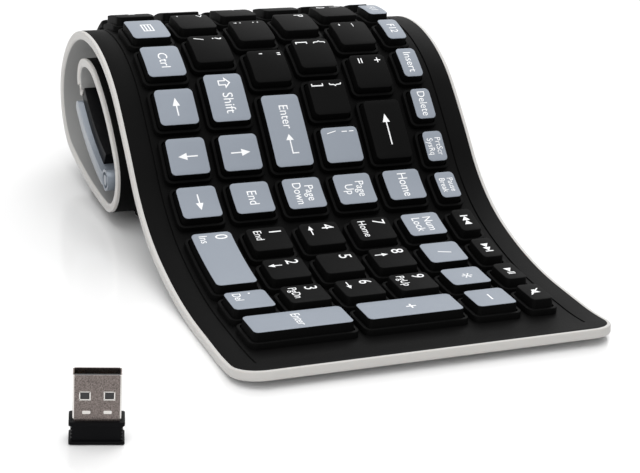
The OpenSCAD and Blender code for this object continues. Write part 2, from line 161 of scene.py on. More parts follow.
def add(tree, kind, inputs=None, **settings):
    """Adds a node: inputs holds plain values, or the sockets that feed it."""
    node = tree.nodes.new("ShaderNode" + kind)
    for name, value in settings.items():
        setattr(node, name, value)
    for key, value in (inputs or {}).items():
        if isinstance(value, bpy.types.NodeSocket):
            tree.links.new(value, node.inputs[key])
        else:
            node.inputs[key].default_value = value
    return node


def surface(name, base, darker, roughness, grain_mm, grain_depth_mm,
            cloud_mm=12.0, spread=0.5, **shader):
    """A moulded, coated or rolled surface: slow colour clouds, and a fine grain in bump and gloss."""
    known = bpy.data.materials.get(name)
    if known:
        return known
    material = bpy.data.materials.new(name)
    material.use_nodes = True
    tree = material.node_tree
    tree.nodes.clear()
    place = add(tree, "TexCoord").outputs["Object"]
    clouds = add(tree, "TexNoise", {"Vector": place, "Scale": 1 / (cloud_mm * MM), "Detail": 2.0})
    low, high = [*(c * darker for c in base), 1], [*base, 1]
    share = add(tree, "MapRange", {
        "Value": clouds.outputs["Fac"], "From Min": 0.5 - spread, "From Max": 0.5 + spread,
    })
    tint = add(tree, "Mix", {"Factor": share.outputs["Result"], "A": low, "B": high}, data_type="RGBA")
    grain = add(tree, "TexNoise", {"Vector": place, "Scale": 1 / (grain_mm * MM), "Detail": 3.0})
    gloss = add(tree, "MapRange", {
        "Value": grain.outputs["Fac"], "From Min": 0.3, "From Max": 0.7,
        "To Min": roughness - 0.05, "To Max": roughness + 0.05,
    })
    bump = add(tree, "Bump", {
        "Height": grain.outputs["Fac"], "Strength": 0.6, "Distance": grain_depth_mm * MM,
    })
    finish = add(tree, "BsdfPrincipled", {
        "Base Color": tint.outputs["Result"], "Roughness": gloss.outputs["Result"],
        "Normal": bump.outputs["Normal"], **shader,
    })
    out = add(tree, "OutputMaterial", {"Surface": finish.outputs["BSDF"]})
    out.is_active_output = True
    return material


def finishes(context):
    """The materials of the object, by a short name."""
    colours = context.scene.keyboard_colours
    tone = {name: tuple(getattr(colours, name)) for name in KeyboardColours.__annotations__}
    return {
        # Compression-moulded silicone rubber: the tool's spark texture leaves it dull, with a soft bloom
        "silicone": surface("moulded_black_silicone", tone["black_silicone"], 0.8, 0.55, 0.3, 0.02,
                            **{"IOR": 1.41, "Specular IOR Level": 0.05}),
        # Sprayed polyurethane coat on silicone: even, satin, with a faint orange peel
        "coating": surface("sprayed_grey_polyurethane", tone["grey_ink"], 0.94, 0.46, 0.5, 0.012,
                           **{"IOR": 1.45, "Specular IOR Level": 0.16}),
        # Screen-printed silicone ink: flat and chalky
        "ink": surface("screen_printed_white_ink", tone["white_ink"], 0.98, 0.55, 0.2, 0.004, IOR=1.45),
        # Pale silicone of the back: slightly translucent, so its edges look soft
        "back": surface("moulded_pale_silicone", tone["back_silicone"], 0.95, 0.42, 0.35, 0.015,
                        **{"IOR": 1.41, "Subsurface Weight": 0.12, "Subsurface Scale": 0.4,
                           "Subsurface Radius": (0.004, 0.003, 0.0025)}),
        # The flat underside has a deep spark texture; its colour is the pale silicone darkened, as
        # painted shade for the inside of the roll
        "back_face": surface("pale_silicone_painted_shade", tone["back_face"], 0.93, 0.6, 0.45, 0.03,
                             IOR=1.41),
        # ABS with a metallic lacquer: fine flakes under a satin coat
        "cover": surface("lacquered_grey_abs", tone["cover"], 0.9, 0.34, 0.25, 0.01,
                         **{"IOR": 1.5, "Metallic": 0.25, "Coat Weight": 0.3, "Coat Roughness": 0.15}),
        # ABS moulded in a sparked tool: dense black with a low, broken shine
        "abs": surface("moulded_black_abs", tone["black_abs"], 0.8, 0.42, 0.3, 0.02,
                       **{"IOR": 1.53, "Specular IOR Level": 0.06}),
        # Stamped and tumbled stainless strip: the tumbling leaves a coarse bright and dark grain
        "steel": surface("tumbled_stainless_steel", tone["steel"], 0.42, 0.36, 0.3, 0.03,
                         cloud_mm=0.28, spread=0.15, Metallic=1.0),
        # Folded edges and pressed tabs, burnished by the press
        "burnished": surface("burnished_stainless_steel", hex_colour("#dedbd7"), 0.9, 0.2, 0.4, 0.004,
                             Metallic=1.0),
        # Gold flash over nickel on spring contacts
        "gold": surface("gold_flashed_contact", tone["gold"], 0.8, 0.25, 0.3, 0.004,
                        cloud_mm=1.0, Metallic=1.0),
        # Liquid crystal polymer: the dense moulded tongue of the plug
        "tongue": surface("moulded_black_lcp", hex_colour("#1a1a1d"), 0.85, 0.4, 0.3, 0.01, IOR=1.55),
        # Polyester film with printed silver tracks, seen as a grey-green sheet
        "film": surface("printed_polyester_film", hex_colour("#8fa79a"), 0.85, 0.25, 2.0, 0.004,
                        cloud_mm=3.0, IOR=1.58),
        # Plain polyester film, with its slight straw tint
        "spacer": surface("plain_polyester_film", hex_colour("#d5d0c2"), 0.95, 0.3, 2.0, 0.004,
                          IOR=1.58),
        # Glass-epoxy board under green solder mask
        "board": surface("green_masked_laminate", hex_colour("#1f5a3c"), 0.8, 0.3, 0.8, 0.01,
                         cloud_mm=2.0, IOR=1.55),
        # Printed film wrap of a dry cell
        "wrap": surface("printed_cell_wrap", hex_colour("#a9adb2"), 0.9, 0.28, 1.0, 0.005,
                        **{"IOR": 1.5, "Metallic": 0.6}),
        # Nickel-plated spring strip
        "nickel": surface("nickel_plated_strip", hex_colour("#c9c4ba"), 0.9, 0.24, 0.4, 0.004,
                          Metallic=1.0),
    }


def dress(piece, material):
    piece.data.materials.clear()
    piece.data.materials.append(material)


# ---------------------------------------------------------------- modelling

def deselect():
    bpy.ops.object.select_all(action="DESELECT")


def activate(piece):
    deselect()
    piece.select_set(True)
    bpy.context.view_layer.objects.active = piece


def settle(piece):
    """Leaves a piece's object at the origin, unturned and unscaled."""
    activate(piece)
    bpy.ops.object.transform_apply(location=True, rotation=True, scale=True)
    return piece


def named(name):
    piece = bpy.context.object
    piece.name = piece.data.name = name
    return piece


def block(name, low, high):
    """A box between two corners, in mm."""
    deselect()
    middle = [(a + b) / 2 * MM for a, b in zip(low, high)]
    bpy.ops.mesh.primitive_cube_add(size=1, location=middle)
    piece = named(name)
    piece.scale = [(b - a) * MM for a, b in zip(low, high)]
    return settle(piece)


def pick(kind, test):
    """In edit mode, selects only the vertices, edges or faces that pass a test."""
    bpy.ops.mesh.select_mode(type=kind)
    bpy.ops.mesh.select_all(action="DESELECT")
    data = bpy.context.edit_object.data
    mesh = bmesh.from_edit_mesh(data)
    for part in {"VERT": mesh.verts, "EDGE": mesh.edges, "FACE": mesh.faces}[kind]:
        if test(part):
            part.select_set(True)
    mesh.select_flush_mode()
    bmesh.update_edit_mesh(data)


def upright(edge):
    a, b = (v.co for v in edge.verts)
    return abs(a.z - b.z) > 0.5 * edge.calc_length()


def at_free_end(edge):
    """The upright edges of a flat sheet at its free end."""
    return upright(edge) and edge.verts[0].co.y < 2 * MM


def through_wall(edge):
    """The edges of a tab that run through the plug's wall."""
    a, b = (v.co for v in edge.verts)
    return abs(a.y - b.y) > TAB_RAISE * MM


def at_height(z):
    """A test for parts that lie wholly at a height in mm."""
    return lambda part: all(abs(v.co.z - z * MM) < 1e-6 for v in part.verts)


def round_edges(radius, test=upright, segments=5):
    """In edit mode, rounds the edges that pass a test."""
    pick("EDGE", test)
    bpy.ops.mesh.bevel(offset=radius, segments=segments, affect="EDGES")


def cut_at(place, axis):
    """In edit mode, cuts everything by the plane across an axis, at a place in mm."""
    normal = [float(i == "xyz".index(axis)) for i in range(3)]
    bpy.ops.mesh.select_all(action="SELECT")
    bpy.ops.mesh.bisect(plane_co=[n * place * MM for n in normal], plane_no=normal)


def cut_spacing(spacing):
    return spacing * 1


def cut_across(first, last, spacing):
    """Cuts everything in edit mode at even steps along the sheet, so that it can bend."""
    steps = max(1, round((last - first) * MM / spacing))
    for i in range(1, steps):
        cut_at(first + (last - first) * i / steps, "y")


def sheet_path():
    """The sheet's side view as a flat curve that stands in the YZ plane."""
    known = bpy.data.objects.get("sheet_path")
    if known:
        return known
    rise = BENDS[0][0] / math.radians(BENDS[0][1])
    start = math.radians(START_HEADING)
    heading = START_HEADING
    y, z = rise * math.sin(start) - BENDS[1][0] / 2, SHEET + rise * (1 - math.cos(start))
    points = [(y, z)]
    for length, turn in BENDS + ((PATH_TAIL, 0),):
        steps = math.ceil(length)
        for _ in range(steps):
            middle = math.radians(heading + turn / steps / 2)
            y, z = y + length / steps * math.cos(middle), z + length / steps * math.sin(middle)
            heading += turn / steps
            points.append((y, z))
    curve = bpy.data.curves.new("sheet_path", "CURVE")
    curve.dimensions = "2D"
    spline = curve.splines.new("POLY")
    spline.points.add(len(points) - 1)
    for point, (y, z) in zip(spline.points, points):
        point.co = (y * MM, z * MM, 0, 1)
    path = bpy.data.objects.new("sheet_path", curve)
    bpy.context.scene.collection.objects.link(path)
    # The curve's X is the board's Y, and the curve's Y stands up
    path.matrix_world = Matrix(((0, 0, 1, 0), (1, 0, 0, 0), (0, 1, 0, 0), (0, 0, 0, 1)))
    return path


def bend(piece):
    """Bends a flat piece along the sheet and smooths it."""
    path = sheet_path()
    bpy.context.view_layer.update()
    activate(piece)
    modifier = piece.modifiers.new("bend", "CURVE")
    modifier.object = path
    modifier.deform_axis = "POS_X"
    bpy.ops.object.modifier_apply(modifier=modifier.name)
    bpy.ops.object.shade_smooth_by_angle(angle=math.radians(SMOOTH_ANGLE))
    return piece


def join(name, pieces):
    deselect()
    for piece in pieces:
        piece.select_set(True)
    bpy.context.view_layer.objects.active = pieces[0]
    bpy.ops.object.join()
    return named(name)


# ---------------------------------------------------------------- keys and their legends

def row_x(row):
    """Place of a row across the board: row 1 is nearest the user and row 6 holds the function keys."""
    from_edge = FIRST_ROW + 4 * ROW_PITCH + FN_PITCH if row == 6 else FIRST_ROW + (row - 1) * ROW_PITCH
    return from_edge - HALF_WIDTH


def pad(name, column, row, grey, *legend):
    depth = FN_DEPTH if row == 6 else ROW_PITCH
    return Key(name, FIRST_COLUMN + column * PAD_PITCH, row_x(row), PAD_PITCH, depth, grey, legend)


def run(row, widths, greys, legends, names=()):
    """A row of the main block, from widths in key pitches."""
    keys, at = [], NAV_COLUMN + KEY_PITCH / 2
    for i, (width, legend) in enumerate(zip(widths, legends)):
        length = width * KEY_PITCH
        name = names[i] if i < len(names) else ""
        keys.append(Key(name, at + length / 2, row_x(row), length, ROW_PITCH, i in greys, legend))
        at += length
    return keys


def text(body, cap, u=None, v=0.0):
    return ("text", body, cap, u, v)


def pair(upper, lower):
    """A shifted sign over a plain one, in the key's upper left corner."""
    return (text(upper, 3.2, "left", 3.3), text(lower, 3.2, "left", -2.9))


def letters(signs):
    """Legends of single letters, one for each key."""
    return [(text(sign, 3.2, "left", 2.6),) for sign in signs]


def arrow(direction, length, u=0.0, v=0.0):
    return ("arrow", direction, length, u, v)


def small_arrow(direction):
    return arrow(direction, 4.4, -2.0, -3.0)


def digit(sign, below=None):
    """A digit in the key's upper left corner, with a small word or an arrow below it."""
    if isinstance(below, str):
        below = text(below, 2.6, "left", -3.0)
    return (text(sign, 4.0, "left", 2.6),) + ((below,) if below else ())


def key_table():
    """Every key, from the free end to the rolled end. Keys without a name don't travel."""
    word, tall = 2.9, 2 * ROW_PITCH
    keys = [
        Key("num_enter", FIRST_COLUMN, (row_x(1) + row_x(2)) / 2, PAD_PITCH, tall, True,
            (text("Enter", 2.8),)),
        Key("num_plus", FIRST_COLUMN, (row_x(3) + row_x(4)) / 2, PAD_PITCH, tall, True,
            (text("+", 4.6),)),
        pad("num_minus", 0, 5, True, ("minus",)),
        pad("media_mute", 0, 6, False, ("mute",)),
        pad("num_point", 1, 1, True, text(".", 4.2, "left", 2.6), text("Del", 2.6, "left", -3.0)),
        pad("num_3", 1, 2, False, *digit("3", "PgDn")),
        pad("num_6", 1, 3, False, *digit("6", small_arrow("right"))),
        pad("num_9", 1, 4, False, *digit("9", "PgUp")),
        pad("num_times", 1, 5, True, text("*", 5.6, None, -1.2)),
        pad("media_play", 1, 6, False, ("play",)),
        Key("num_0", FIRST_COLUMN + 2.5 * PAD_PITCH, row_x(1), 2 * PAD_PITCH, ROW_PITCH, True,
            digit("0") + (text("Ins", 2.7, "left", -3.0),)),
        pad("num_2", 2, 2, False, *digit("2", small_arrow("down"))),
        pad("num_5", 2, 3, False, *digit("5")),
        pad("num_8", 2, 4, False, *digit("8", small_arrow("up"))),
        pad("num_divide", 2, 5, True, text("/", 4.2)),
        pad("media_next", 2, 6, False, ("next",)),
        pad("num_1", 3, 2, False, *digit("1", "End")),
        pad("num_4", 3, 3, False, *digit("4", small_arrow("left"))),
        pad("num_7", 3, 4, False, *digit("7", "Home")),
        pad("num_lock", 3, 5, True, text("Num\nLock", word)),
        pad("media_back", 3, 6, False, ("back",)),
    ]
    navigation = (
        ("arrow_right", (arrow("right", 6.4),)), ("end", (text("End", 3.2),)),
        ("page_down", (text("Page\nDown", word),)), ("page_up", (text("Page\nUp", word),)),
        ("home", (text("Home", 3.2),)),
    )
    for row, (name, legend) in enumerate(navigation, 1):
        keys.append(Key(name, NAV_COLUMN, row_x(row), KEY_PITCH, ROW_PITCH, True, legend))
    first = (FIRST_COLUMN + 3 * PAD_PITCH + NAV_COLUMN) / 2
    last = NAV_COLUMN + KEY_PITCH * (0.5 + BLOCK_PITCHES)
    words = [
        ("pause", "Pause\nBreak"), ("print_screen", "PrtScr\nSysRq"),
        ("delete", "Delete"), ("insert", "Insert"),
    ]
    words += [("", f"F{n}") for n in range(12, 0, -1)] + [("", "Esc")]
    step = (last - first) / len(words)
    for i, (name, body) in enumerate(words):
        legend = (text(body, 2.1 if "\n" in body else 2.7),)
        keys.append(Key(name, first + (i + 0.5) * step, row_x(6), step, FN_DEPTH, True, legend))
    keys += run(5, [1.5] + [1] * 12 + [1], set(),
                [(arrow("left", 11.0),)] + [pair(a, b) for a, b in zip("+_)(*&^%$#@!", "=-0987654321")]
                + [pair("~", "`")],
                ("backspace",))
    keys += run(4, [1] + [1] * 12 + [1.5], {0, 13},
                [pair("\u00a6", "\\"), pair("}", "]"), pair("{", "[")]
                + letters("POIUYTREWQ") + [(text("Tab", 2.5),)],
                ("backslash",))
    keys += run(3, [1.75] + [1] * 11 + [1.75], {0, 12},
                [(text("Enter", 3.1, -4.8, 0.3), ("return",)), pair('"', "'"), pair(":", ";")]
                + letters("LKJHGFDSA") + [(text("Caps Lock", 2.3),)],
                ("enter",))
    keys += run(2, [1, 1.25] + [1] * 10 + [2.25], {0, 1, 12},
                [(arrow("up", 6.4),), (("shift",), text("Shift", 3.4, 1.9, 0.1)), pair("?", "/"),
                 pair(">", "."), pair("<", ",")]
                + letters("MNBVCXZ") + [(text("Shift", 2.7),)],
                ("arrow_up", "right_shift"))
    keys += run(1, [1, 1, 1, 1, 1, 5.75, 1.25, 1.25, 1.25], {0, 1, 2, 3, 6, 7, 8},
                [(arrow("down", 6.4),), (arrow("left", 6.4),), (text("Ctrl", 3.1),), (("menu",),),
                 (text("Alt", 2.7),), (), (text("Alt", 2.7),), (), (text("Ctrl", 3.1),)],
                ("arrow_down", "arrow_left", "right_ctrl"))
    return keys


def flat_bar(u0, v0, u1, v1):
    """A printed rectangle in legend coordinates: u along the reading direction, v up."""
    return [(u0, v0), (u1, v0), (u1, v1), (u0, v1)]


def sign_shapes(kind):
    """Outlines of the printed signs that aren't letters."""
    if kind == "minus":
        return [flat_bar(-1.8, -0.25, 1.8, 0.25)]
    if kind == "mute":
        horn = [(-1.4, -0.6), (-0.5, -0.6), (0.7, -1.6), (0.7, 1.6), (-0.5, 0.6), (-1.4, 0.6)]
        return [horn, [(-2.2, 1.7), (-1.9, 2.0), (1.9, -1.7), (1.6, -2.0)]]
    if kind == "play":
        return [[(-2.0, -1.3), (0.4, 0.0), (-2.0, 1.3)],
                flat_bar(0.7, -1.2, 1.15, 1.2), flat_bar(1.6, -1.2, 2.05, 1.2)]
    if kind == "next":
        return [[(-2.3, -1.3), (-0.2, 0.0), (-2.3, 1.3)], [(-0.2, -1.3), (1.9, 0.0), (-0.2, 1.3)],
                flat_bar(1.9, -1.3, 2.4, 1.3)]
    if kind == "back":
        return [[(2.3, 1.3), (0.2, 0.0), (2.3, -1.3)], [(0.2, 1.3), (-1.9, 0.0), (0.2, -1.3)],
                flat_bar(-2.4, -1.3, -1.9, 1.3)]
    if kind == "menu":
        return [flat_bar(-2.2, y - 0.2, 2.2, y + 0.2) for y in (-1.6, -0.5, 0.6, 1.7)] + [
            flat_bar(x - 0.2, -1.8, x + 0.2, 1.9) for x in (-2.2, 2.2)]
    if kind == "return":
        return [flat_bar(3.4, -0.2, 8.2, 0.2), flat_bar(7.8, 0.2, 8.2, 2.1),
                [(3.5, -1.3), (3.5, 1.3), (1.4, 0.0)]]
    if kind == "shift":
        rim = [(0.0, 2.3), (-2.0, 0.3), (-0.9, 0.3), (-0.9, -1.9), (0.9, -1.9), (0.9, 0.3), (2.0, 0.3)]
        inner = [(0.0, 1.7), (-1.05, 0.65), (-0.55, 0.65), (-0.55, -1.5),
                 (0.55, -1.5), (0.55, 0.65), (1.05, 0.65)]
        return [[(u - 5.2, v) for u, v in (rim[i], rim[i - 1], inner[i - 1], inner[i])]
                for i in range(len(rim))]
    raise ValueError(kind)


def arrow_shapes(direction, length, u, v):
    shaft = 0.42 if length > 5 else 0.38
    head = min(0.45 * length, 3.0)
    shapes = [
        flat_bar(-length / 2, -shaft / 2, length / 2 - head, shaft / 2),
        [(length / 2 - head, -0.42 * head), (length / 2, 0), (length / 2 - head, 0.42 * head)],
    ]
    turn = math.radians({"right": 0, "up": 90, "left": 180, "down": -90}[direction])
    c, s = math.cos(turn), math.sin(turn)
    return [[(u + a * c - b * s, v + a * s + b * c) for a, b in shape] for shape in shapes]


def legend_pieces(key, context):
    """The printed legend of one key as thin slabs, flat on the key's top."""
    sizes = context.scene.keyboard_sizes
    half_u = (key.length - KEY_GAP) / 2
    ink, top = sizes.ink, sizes.key_top
    pieces, outlines = [], []
    for item in key.legend:
        if item[0] == "text":
            _, body, cap, u, v = item
            deselect()
            bpy.ops.object.text_add(location=(key.across * MM, key.along * MM, top))
            words = bpy.context.object
            words.data.body = body
            words.data.size = cap / CAP_SHARE * MM
            words.data.space_line = 0.95
            words.data.resolution_u = 3
            words.data.extrude = ink
            words.scale[0] = LETTER_WIDTH
            words.data.align_x = "LEFT" if u == "left" else "CENTER"
            words.data.align_y = "CENTER"
            words.rotation_euler = (0, 0, -math.pi / 2)
            shift = LEGEND_MARGIN - half_u if u == "left" else (u or 0.0)
            words.location += Vector((v * MM, -shift * MM, 0))
            bpy.ops.object.convert(target="MESH")
            pieces.append(settle(bpy.context.object))
        elif item[0] == "arrow":
            outlines += arrow_shapes(*item[1:])
        else:
            outlines += sign_shapes(item[0])
    for outline in outlines:
        deselect()
        bpy.ops.mesh.primitive_circle_add(
            vertices=len(outline), radius=MM, fill_type="NGON", location=(0, 0, 0),
        )
        sign = bpy.context.object
        area = sum(a[0] * b[1] - b[0] * a[1] for a, b in zip(outline, outline[1:] + outline[:1]))
        corners = outline if area > 0 else outline[::-1]
        for vertex, (u, v) in zip(sign.data.vertices, corners):
            vertex.co = ((key.across + v) * MM, (key.along - u) * MM, top - ink)
        bpy.ops.object.mode_set(mode="EDIT")
        bpy.ops.mesh.select_all(action="SELECT")
        bpy.ops.mesh.normals_make_consistent(inside=False)
        bpy.ops.mesh.extrude_region_move(TRANSFORM_OT_translate={"value": (0, 0, 2 * ink)})
        bpy.ops.mesh.select_all(action="SELECT")
        bpy.ops.mesh.normals_make_consistent(inside=False)
        bpy.ops.object.mode_set(mode="OBJECT")
        pieces.append(sign)
    material = finishes(context)["ink"]
    for piece in pieces:
        dress(piece, material)
    return pieces


def key_block(name, key, gap, low, high):
    """The box of a key or its surround, which stays clear of the key pitch by a gap."""
    half_u, half_v = (key.length - gap) / 2, (key.depth - gap) / 2
    return block(
        name,
        (key.across - half_v, key.along - half_u, low),
        (key.across + half_v, key.along + half_u, high),
    )


def key_cap(name, key, context):
    """One key: a tapered silicone block with a rounded edge; the coat covers only its top."""
    sizes = context.scene.keyboard_sizes
    looks = finishes(context)
    half_u, half_v = (key.length - KEY_GAP) / 2, (key.depth - KEY_GAP) / 2
    top = sizes.key_top / MM
    cap = key_block(name, key, KEY_GAP, sizes.key_foot / MM, top)
    bpy.ops.object.mode_set(mode="EDIT")
    round_edges(sizes.key_corner)
    pick("FACE", at_height(top))
    scale = (1 - sizes.key_taper / (half_v * MM), 1 - sizes.key_taper / (half_u * MM), 1)
    centre = (key.across * MM, key.along * MM, sizes.key_top)
    bpy.ops.transform.resize(value=scale, center_override=centre)
    round_edges(sizes.key_edge, at_height(top), 3)
    bpy.ops.object.mode_set(mode="OBJECT")
    cap.data.materials.append(looks["silicone"])
    cap.data.materials.append(looks["coating"])
    if key.grey:
        for face in cap.data.polygons:
            if face.normal.z > 0.6:
                face.material_index = 1
    return join(name, [cap] + legend_pieces(key, context))


def key_surround(name, key, context):
    """The raised surround of a key, with the well that the key sinks into."""
    sizes = context.scene.keyboard_sizes
    top = sizes.surround / MM
    base = key_block(name, key, SURROUND_GAP, -SURROUND_ROOT, top)
    bpy.ops.object.mode_set(mode="EDIT")
    round_edges(sizes.key_corner + SURROUND_CORNER * MM)
    round_edges(SURROUND_EDGE * MM, at_height(top), 2)
    pick("FACE", at_height(top))
    wall = (KEY_GAP - SURROUND_GAP) / 2 * MM - SURROUND_EDGE * MM - sizes.well_gap
    bpy.ops.mesh.inset(thickness=wall)
    floor = (0, 0, SKIN * MM - sizes.surround)
    bpy.ops.mesh.extrude_region_move(TRANSFORM_OT_translate={"value": floor})
    bpy.ops.object.mode_set(mode="OBJECT")
    return base


# ---------------------------------------------------------------- operators

class KEYBOARD_OT_key_sheet(bpy.types.Operator):
    """Makes the black silicone sheet with the surrounds of its keys"""
    bl_idname = "keyboard.key_sheet"
    bl_label = "Key sheet"

    def execute(self, context):
        sizes = context.scene.keyboard_sizes
        end = SHEET_LENGTH - SHEET
        mat = block("mat", (RIM - HALF_WIDTH, RIM, -MAT), (HALF_WIDTH - RIM, end, 0))
        bpy.ops.object.mode_set(mode="EDIT")
        round_edges(sizes.corner - RIM * MM, at_free_end, 10)
        round_edges(MAT_EDGE * MM, at_height(0), 2)
        # A moulded line runs along both long edges: cut its banks and its floor, and sink the floor
        line = HALF_WIDTH - LINE_INSET
        for x in (line - LINE_HALF, line - LINE_FLOOR, line + LINE_FLOOR, line + LINE_HALF):
            for side in (-1, 1):
                cut_at(side * x, "x")
        first, last = LINE_INSET, end - LINE_INSET
        for y in (first, first + LINE_END, last - LINE_END, last):
            cut_at(y, "y")

        def on_line_floor(vertex):
            x, y, z = vertex.co / MM
            inside_banks = abs(abs(x) - line) < LINE_HALF - SKIN
            return z > -0.001 and inside_banks and first + SKIN < y < last - SKIN

        pick("VERT", on_line_floor)
        bpy.ops.transform.translate(value=(0, 0, -LINE_DEPTH * MM))
        bpy.ops.object.mode_set(mode="OBJECT")
        surrounds = [key_surround("surround", key, context) for key in key_table()]
        sheet = join("key_sheet", [mat] + surrounds)
        bpy.ops.object.mode_set(mode="EDIT")
        cut_across(0, end, cut_spacing(sizes.cut))
        bpy.ops.object.mode_set(mode="OBJECT")
        dress(sheet, finishes(context)["silicone"])
        bend(sheet)
        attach(sheet, "sheet")
        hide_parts("silicone_mat")
        return {"FINISHED"}


class KEYBOARD_OT_back_sheet(bpy.types.Operator):
    """Makes the pale back sheet, whose rounded rim shows all round the board"""
    bl_idname = "keyboard.back_sheet"
    bl_label = "Back sheet"

    def execute(self, context):
        sizes = context.scene.keyboard_sizes
        end = SHEET_LENGTH - SHEET
        back = block("back", (-HALF_WIDTH, 0, -SHEET), (HALF_WIDTH, end + 2 * RIM, -RIM_LOW))
        bpy.ops.object.mode_set(mode="EDIT")
        round_edges(sizes.corner, at_free_end, 10)
        round_edges(sizes.rim_edge, at_height(-SHEET), 4)
        round_edges(BORDER_EDGE * MM, at_height(-RIM_LOW), 3)
        # Two steps down inside the border: the bed of the key sheet, and in it the bed of the films
        beds = ((RIM - BORDER_EDGE - BED_GAP, MAT + SKIN - RIM_LOW), (FILM_INSET, FILMS))
        for border, depth in beds:
            pick("FACE", lambda face: face.normal.z > 0.9 and face.calc_area() > 0.01)
            bpy.ops.mesh.inset(thickness=border * MM)
            bpy.ops.mesh.extrude_region_move(TRANSFORM_OT_translate={"value": (0, 0, -depth * MM)})
        bpy.ops.mesh.select_all(action="SELECT")
        bpy.ops.mesh.bisect(
            plane_co=(0, end * MM, 0), plane_no=(0, 1, 0), clear_outer=True, use_fill=True,
        )
        cut_across(0, end, cut_spacing(sizes.cut))
        bpy.ops.object.mode_set(mode="OBJECT")
        # Past the key sheet a full strip carries on to the round bead in the module's jaw
        half = HALF_WIDTH - STRIP_INSET
        strip = block("strip", (-half, end, -SHEET), (half, SHEET_LENGTH, -MAT - SKIN))
        bpy.ops.object.mode_set(mode="EDIT")
        cut_across(end, SHEET_LENGTH, 0.8 * MM)
        bpy.ops.object.mode_set(mode="OBJECT")
        deselect()
        bpy.ops.mesh.primitive_cylinder_add(
            vertices=48, radius=SHEET / 2 * MM, depth=2 * half * MM,
            location=(0, SHEET_LENGTH * MM, -SHEET / 2 * MM), rotation=(0, math.pi / 2, 0),
        )
        bead = settle(bpy.context.object)
        sheet = join("soft_back", [back, strip, bead])
        dress(sheet, finishes(context)["back"])
        # Faces that look down, the underside that lies inside the roll, take the darker copy of the pale
        # silicone: painted shade
        sheet.data.materials.append(finishes(context)["back_face"])
        for face in sheet.data.polygons:
            if face.normal.z < -0.95:
                face.material_index = 1
        bend(sheet)
        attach(sheet, "sheet")
        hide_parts("back_sheet")
        return {"FINISHED"}


class KEYBOARD_OT_open_keys(bpy.types.Operator):
    """Makes the keys that travel, each with its printed legend"""
    bl_idname = "keyboard.open_keys"
    bl_label = "Open keys"

    def execute(self, context):
        for key in key_table():
            if not key.name:
                continue
            cap = key_cap("cap_" + key.name, key, context)
            bpy.ops.object.mode_set(mode="EDIT")
            cut_across(key.along - key.length / 2, key.along + key.length / 2, 2.2 * MM)
            bpy.ops.object.mode_set(mode="OBJECT")
            bend(cap)
            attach(cap, "key_" + key.name)
            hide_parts("key_" + key.name)
        return {"FINISHED"}


class KEYBOARD_OT_rolled_keys(bpy.types.Operator):
    """Makes the keys of the rolled part, which stay in one with the sheet"""
    bl_idname = "keyboard.rolled_keys"
    bl_label = "Rolled keys"

    def execute(self, context):
        caps = [key_cap("rolled", key, context) for key in key_table() if not key.name]
        keys = join("rolled_keys", caps)
        bpy.ops.object.mode_set(mode="EDIT")
        block_end = NAV_COLUMN + (0.5 + BLOCK_PITCHES) * KEY_PITCH
        cut_across(BLOCK_START, block_end, cut_spacing(2 * MM))
        bpy.ops.object.mode_set(mode="OBJECT")
        bend(keys)
        # The roll stands on its keys, so they are pressed in level with the table
        bpy.ops.object.mode_set(mode="EDIT")
        pick("VERT", lambda v: v.co.z < 0)
        bpy.ops.transform.resize(value=(1, 1, 0), center_override=(0, 0, 0))
        bpy.ops.object.mode_set(mode="OBJECT")
        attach(keys, "sheet")
        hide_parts("grey_caps")
        return {"FINISHED"}


